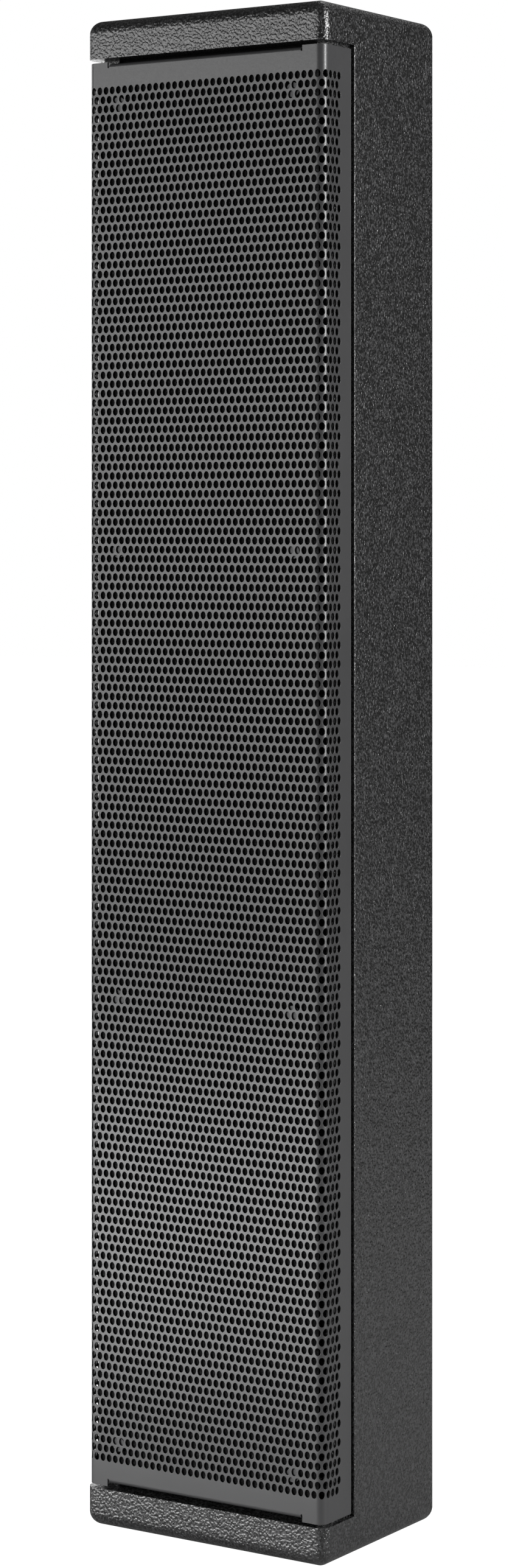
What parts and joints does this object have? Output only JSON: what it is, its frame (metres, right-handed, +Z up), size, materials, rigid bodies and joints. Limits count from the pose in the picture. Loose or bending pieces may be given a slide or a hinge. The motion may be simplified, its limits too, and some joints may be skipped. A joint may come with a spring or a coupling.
{
  "type": "line array column loudspeaker",
  "caption": "Tall slim box loudspeaker with coated cabinet, projecting end panels and a wrap-around perforated steel grille over a column of cone drivers.",
  "frame": {"origin": "centre of the bottom face, on the floor", "axes": "+Z up along the column, front grille faces -Y, +X to the right of someone facing the grille"},
  "size_m": [0.178, 0.1324, 0.947],
  "materials": {
    "cabinet_coating": "pebbled black polyurea coating over plywood",
    "bare_plywood": "uncoated birch plywood, hidden",
    "felt": "grey needle felt",
    "grille_coating": "satin dark grey powder coat on perforated steel",
    "open_cell_foam": "black open-cell acoustic foam",
    "black_nylon": "moulded black nylon",
    "cup_rubber": "matt black rubber",
    "zinc_steel": "zinc plated",
    "black_steel": "fine textured black powder coat",
    "black_screw": "black zinc",
    "socket_plastic": "smooth black glass-filled nylon",
    "circuit_board": "green solder mask",
    "copper_winding": "enamelled copper wire",
    "capacitor_sleeve": "yellow film wrap",
    "ceramic_resistor": "white cement body",
    "wire_sleeve": "black sleeving",
    "gasket_foam": "closed-cell gasket",
    "spider_cloth": "resin-dipped cloth",
    "terminal_tag": "tinned tags on a fibre strip",
    "basket_paint": "satin black pressed steel",
    "magnet_steel": "black passivated steel and ferrite",
    "paper_cone": "treated black paper pulp",
    "surround_rubber": "matt butyl half-roll"
  },
  "bodies": {
    "cabinet": {"top_panel": "cabinet_coating", "bottom_panel": "cabinet_coating", "left_side_panel": "cabinet_coating", "right_side_panel": "cabinet_coating", "back_panel": "cabinet_coating", "driver_baffle": "cabinet_coating", "cabinet_braces": "bare_plywood", "damping_pads": "felt", "grille": "grille_coating", "grille_foam": "open_cell_foam", "grille_pegs": "black_nylon", "grille_peg_cups": "cup_rubber", "bracket_inserts": "zinc_steel", "pole_socket": "black_steel", "pole_socket_screws": "black_screw", "input_plate": "black_steel", "input_plate_screws": "black_screw", "input_socket_left": "socket_plastic", "input_socket_right": "socket_plastic", "input_socket_screws": "black_screw", "crossover_board": "circuit_board", "crossover_standoffs": "black_nylon", "crossover_inductors": "copper_winding", "crossover_capacitors": "capacitor_sleeve", "crossover_resistors": "ceramic_resistor", "wiring_loom": "wire_sleeve", "driver_screws": "black_screw", "driver_gaskets": "gasket_foam", "driver_spiders": "spider_cloth", "driver_terminals": "terminal_tag", "driver_1_basket": "basket_paint", "driver_1_magnet": "magnet_steel", "driver_1_surround": "surround_rubber", "driver_2_basket": "basket_paint", "driver_2_magnet": "magnet_steel", "driver_2_surround": "surround_rubber", "driver_3_basket": "basket_paint", "driver_3_magnet": "magnet_steel", "driver_3_surround": "surround_rubber", "driver_4_basket": "basket_paint", "driver_4_magnet": "magnet_steel", "driver_4_surround": "surround_rubber", "driver_5_basket": "basket_paint", "driver_5_magnet": "magnet_steel", "driver_5_surround": "surround_rubber", "driver_6_basket": "basket_paint", "driver_6_magnet": "magnet_steel", "driver_6_surround": "surround_rubber"},
    "moving_assembly_1": {"driver_1_cone": "paper_cone", "driver_1_voice_coil": "copper_winding"},
    "moving_assembly_2": {"driver_2_cone": "paper_cone", "driver_2_voice_coil": "copper_winding"},
    "moving_assembly_3": {"driver_3_cone": "paper_cone", "driver_3_voice_coil": "copper_winding"},
    "moving_assembly_4": {"driver_4_cone": "paper_cone", "driver_4_voice_coil": "copper_winding"},
    "moving_assembly_5": {"driver_5_cone": "paper_cone", "driver_5_voice_coil": "copper_winding"},
    "moving_assembly_6": {"driver_6_cone": "paper_cone", "driver_6_voice_coil": "copper_winding"}
  },
  "joints": [
    {"name": "cone_travel_1", "type": "slide", "parent": "cabinet", "child": "moving_assembly_1", "axis": [0, -1, 0], "range_m": [-0.003, 0.003], "stiffness_N_per_m": 1500, "deforming": ["driver_1_surround", "driver_spiders"]},
    {"name": "cone_travel_2", "type": "slide", "parent": "cabinet", "child": "moving_assembly_2", "axis": [0, -1, 0], "range_m": [-0.003, 0.003], "stiffness_N_per_m": 1500, "deforming": ["driver_2_surround", "driver_spiders"]},
    {"name": "cone_travel_3", "type": "slide", "parent": "cabinet", "child": "moving_assembly_3", "axis": [0, -1, 0], "range_m": [-0.003, 0.003], "stiffness_N_per_m": 1500, "deforming": ["driver_3_surround", "driver_spiders"]},
    {"name": "cone_travel_4", "type": "slide", "parent": "cabinet", "child": "moving_assembly_4", "axis": [0, -1, 0], "range_m": [-0.003, 0.003], "stiffness_N_per_m": 1500, "deforming": ["driver_4_surround", "driver_spiders"]},
    {"name": "cone_travel_5", "type": "slide", "parent": "cabinet", "child": "moving_assembly_5", "axis": [0, -1, 0], "range_m": [-0.003, 0.003], "stiffness_N_per_m": 1500, "deforming": ["driver_5_surround", "driver_spiders"]},
    {"name": "cone_travel_6", "type": "slide", "parent": "cabinet", "child": "moving_assembly_6", "axis": [0, -1, 0], "range_m": [-0.003, 0.003], "stiffness_N_per_m": 1500, "deforming": ["driver_6_surround", "driver_spiders"]}
  ]
}
